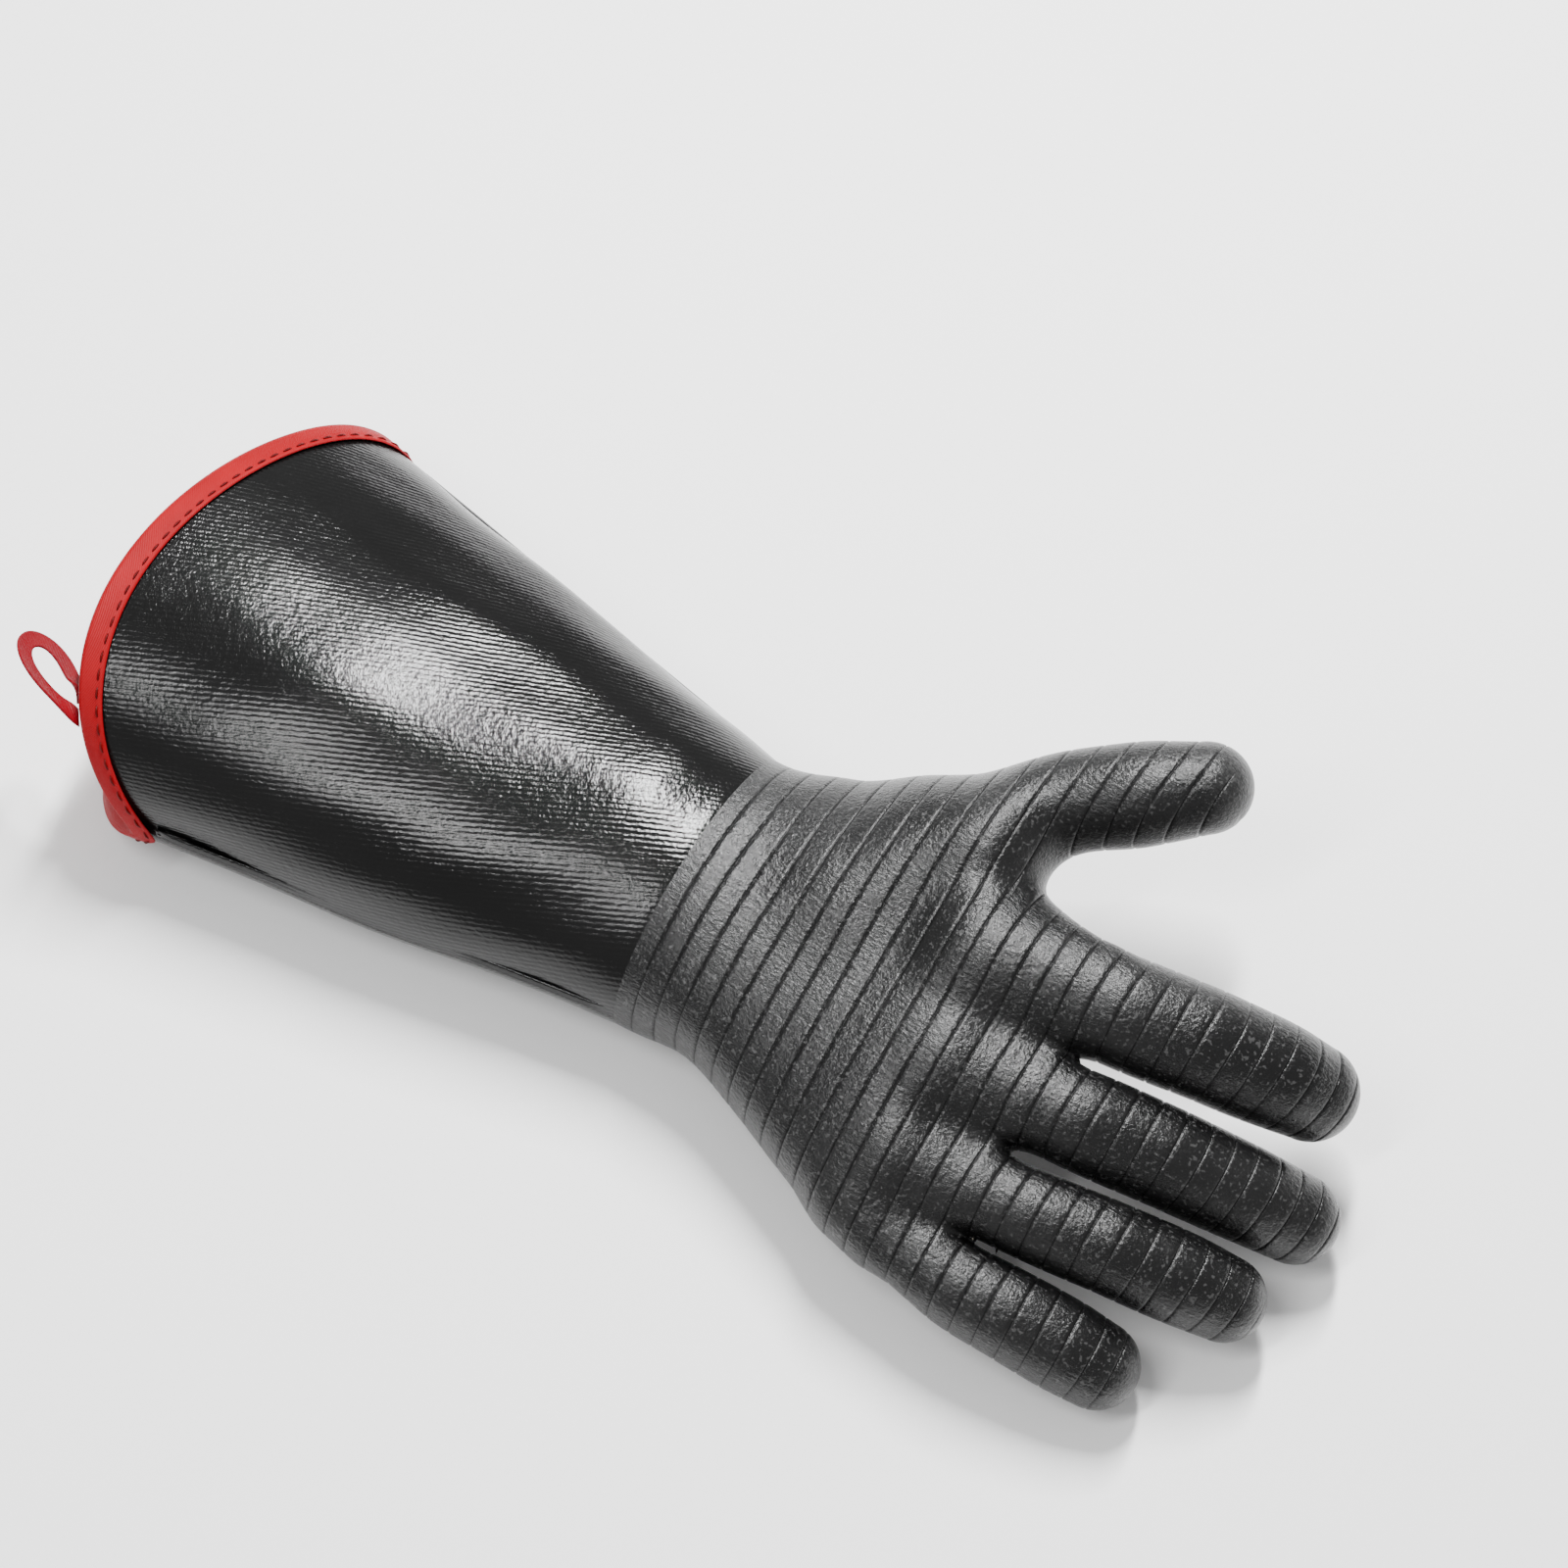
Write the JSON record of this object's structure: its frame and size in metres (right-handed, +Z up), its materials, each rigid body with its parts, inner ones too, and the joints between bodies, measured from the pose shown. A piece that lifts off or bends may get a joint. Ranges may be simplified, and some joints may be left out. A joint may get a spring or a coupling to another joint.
{
  "type": "heat resistant glove",
  "caption": "Right-hand long-cuff barbecue glove: black dipped rubber hand with jointed fingers, glossy gauntlet, cotton lining, red bound rim and hanging loop.",
  "frame": {"origin": "middle of the footprint, on the surface the glove lies on", "axes": "+Y from the cuff to the fingertips, -X to the thumb, +Z up through the back of the hand"},
  "size_m": [0.182, 0.4238, 0.0802],
  "materials": {
    "coated_fabric": "glossy black coating with a fine diagonal rib",
    "dipped_rubber": "semi-matt grained rubber with cross grooves",
    "cotton_lining": "brushed natural cotton knit",
    "red_tape": "satin woven tape",
    "red_thread": "twisted sewing thread"
  },
  "bodies": {
    "gauntlet": {"gauntlet_shell": "coated_fabric", "gauntlet_lining": "cotton_lining", "cuff_binding": "red_tape", "binding_thread": "red_thread", "little_side_seam": "coated_fabric", "thumb_side_seam": "coated_fabric"},
    "loop": {"hanging_loop": "red_tape"},
    "hand": {"wrist_band": "dipped_rubber", "wrist_lining": "cotton_lining", "hand_shell": "dipped_rubber", "hand_lining": "cotton_lining"},
    "index_proximal": {"index_proximal_shell": "dipped_rubber", "index_knuckle_crease": "dipped_rubber", "index_lining": "cotton_lining"},
    "index_middle": {"index_middle_shell": "dipped_rubber", "index_middle_crease": "dipped_rubber"},
    "index_tip": {"index_tip_shell": "dipped_rubber", "index_end_crease": "dipped_rubber"},
    "middle_proximal": {"middle_proximal_shell": "dipped_rubber", "middle_knuckle_crease": "dipped_rubber", "middle_lining": "cotton_lining"},
    "middle_middle": {"middle_middle_shell": "dipped_rubber", "middle_middle_crease": "dipped_rubber"},
    "middle_tip": {"middle_tip_shell": "dipped_rubber", "middle_end_crease": "dipped_rubber"},
    "ring_proximal": {"ring_proximal_shell": "dipped_rubber", "ring_knuckle_crease": "dipped_rubber", "ring_lining": "cotton_lining"},
    "ring_middle": {"ring_middle_shell": "dipped_rubber", "ring_middle_crease": "dipped_rubber"},
    "ring_tip": {"ring_tip_shell": "dipped_rubber", "ring_end_crease": "dipped_rubber"},
    "little_proximal": {"little_proximal_shell": "dipped_rubber", "little_knuckle_crease": "dipped_rubber", "little_lining": "cotton_lining"},
    "little_middle": {"little_middle_shell": "dipped_rubber", "little_middle_crease": "dipped_rubber"},
    "little_tip": {"little_tip_shell": "dipped_rubber", "little_end_crease": "dipped_rubber"},
    "thumb_proximal": {"thumb_proximal_shell": "dipped_rubber", "thumb_base_crease": "dipped_rubber", "thumb_lining": "cotton_lining"},
    "thumb_tip": {"thumb_tip_shell": "dipped_rubber", "thumb_end_crease": "dipped_rubber"}
  },
  "joints": [
    {"name": "wrist_bend", "type": "hinge", "parent": "gauntlet", "child": "hand", "pos_m": [0.0065, 0.00857, 0.03], "axis": [1, 0, 0], "range_deg": [-40, 40], "stiffness_Nm_per_rad": 6, "deforming": ["wrist_band", "wrist_lining"]},
    {"name": "loop_swing", "type": "hinge", "parent": "gauntlet", "child": "loop", "pos_m": [0.066, -0.18517, 0.05791], "axis": [-0.6844, -0.4483, 0.5751], "range_deg": [-35, 35], "stiffness_Nm_per_rad": 0.004},
    {"name": "index_knuckle_bend", "type": "hinge", "parent": "hand", "child": "index_proximal", "pos_m": [-0.009, 0.12907, 0.0545], "axis": [-0.9469, -0.1397, 0.2895], "range_deg": [-18, 42], "stiffness_Nm_per_rad": 0.35, "deforming": ["index_knuckle_crease", "index_lining"]},
    {"name": "index_middle_bend", "type": "hinge", "parent": "index_proximal", "child": "index_middle", "pos_m": [-0.01405, 0.1542, 0.05014], "axis": [-0.9469, -0.1397, 0.2895], "range_deg": [-16, 53], "stiffness_Nm_per_rad": 0.25, "deforming": ["index_middle_crease", "index_lining"]},
    {"name": "index_end_bend", "type": "hinge", "parent": "index_middle", "child": "index_tip", "pos_m": [-0.01988, 0.17582, 0.0415], "axis": [-0.9469, -0.1397, 0.2895], "range_deg": [-18, 36], "stiffness_Nm_per_rad": 0.2, "deforming": ["index_end_crease", "index_lining"]},
    {"name": "middle_knuckle_bend", "type": "hinge", "parent": "hand", "child": "middle_proximal", "pos_m": [0.0231, 0.13307, 0.044], "axis": [-0.9502, -0.113, 0.2905], "range_deg": [-19, 41], "stiffness_Nm_per_rad": 0.35, "deforming": ["middle_knuckle_crease", "middle_lining"]},
    {"name": "middle_middle_bend", "type": "hinge", "parent": "middle_proximal", "child": "middle_middle", "pos_m": [0.01803, 0.15992, 0.03789], "axis": [-0.9502, -0.113, 0.2905], "range_deg": [-15, 54], "stiffness_Nm_per_rad": 0.25, "deforming": ["middle_middle_crease", "middle_lining"]},
    {"name": "middle_end_bend", "type": "hinge", "parent": "middle_middle", "child": "middle_tip", "pos_m": [0.01193, 0.184, 0.02731], "axis": [-0.9502, -0.113, 0.2905], "range_deg": [-12, 42], "stiffness_Nm_per_rad": 0.2, "deforming": ["middle_end_crease", "middle_lining"]},
    {"name": "ring_knuckle_bend", "type": "hinge", "parent": "hand", "child": "ring_proximal", "pos_m": [0.052, 0.13307, 0.0353], "axis": [-0.9496, -0.1181, 0.2903], "range_deg": [-14, 46], "stiffness_Nm_per_rad": 0.35, "deforming": ["ring_knuckle_crease", "ring_lining"]},
    {"name": "ring_middle_bend", "type": "hinge", "parent": "ring_proximal", "child": "ring_middle", "pos_m": [0.04788, 0.15856, 0.03221], "axis": [-0.9496, -0.1181, 0.2903], "range_deg": [-15, 54], "stiffness_Nm_per_rad": 0.25, "deforming": ["ring_middle_crease", "ring_lining"]},
    {"name": "ring_end_bend", "type": "hinge", "parent": "ring_middle", "child": "ring_tip", "pos_m": [0.04292, 0.18092, 0.02506], "axis": [-0.9496, -0.1181, 0.2903], "range_deg": [-14, 40], "stiffness_Nm_per_rad": 0.2, "deforming": ["ring_end_crease", "ring_lining"]},
    {"name": "little_knuckle_bend", "type": "hinge", "parent": "hand", "child": "little_proximal", "pos_m": [0.0784, 0.12307, 0.0255], "axis": [-0.9563, 0.0038, 0.2924], "range_deg": [-14, 46], "stiffness_Nm_per_rad": 0.35, "deforming": ["little_knuckle_crease", "little_lining"]},
    {"name": "little_middle_bend", "type": "hinge", "parent": "little_proximal", "child": "little_middle", "pos_m": [0.07764, 0.14287, 0.02278], "axis": [-0.9563, 0.0038, 0.2924], "range_deg": [-9, 60], "stiffness_Nm_per_rad": 0.25, "deforming": ["little_middle_crease", "little_lining"]},
    {"name": "little_end_bend", "type": "hinge", "parent": "little_middle", "child": "little_tip", "pos_m": [0.07648, 0.16089, 0.01874], "axis": [-0.9563, 0.0038, 0.2924], "range_deg": [-11, 43], "stiffness_Nm_per_rad": 0.2, "deforming": ["little_end_crease", "little_lining"]},
    {"name": "thumb_base_bend", "type": "hinge", "parent": "hand", "child": "thumb_proximal", "pos_m": [-0.0535, 0.08207, 0.058], "axis": [-0.6375, -0.2294, -0.7355], "range_deg": [-14, 30], "stiffness_Nm_per_rad": 0.35, "deforming": ["thumb_base_crease", "thumb_lining"]},
    {"name": "thumb_end_bend", "type": "hinge", "parent": "thumb_proximal", "child": "thumb_tip", "pos_m": [-0.06876, 0.10473, 0.06415], "axis": [-0.6375, -0.2294, -0.7355], "range_deg": [-7, 47], "stiffness_Nm_per_rad": 0.2, "deforming": ["thumb_end_crease", "thumb_lining"]}
  ]
}
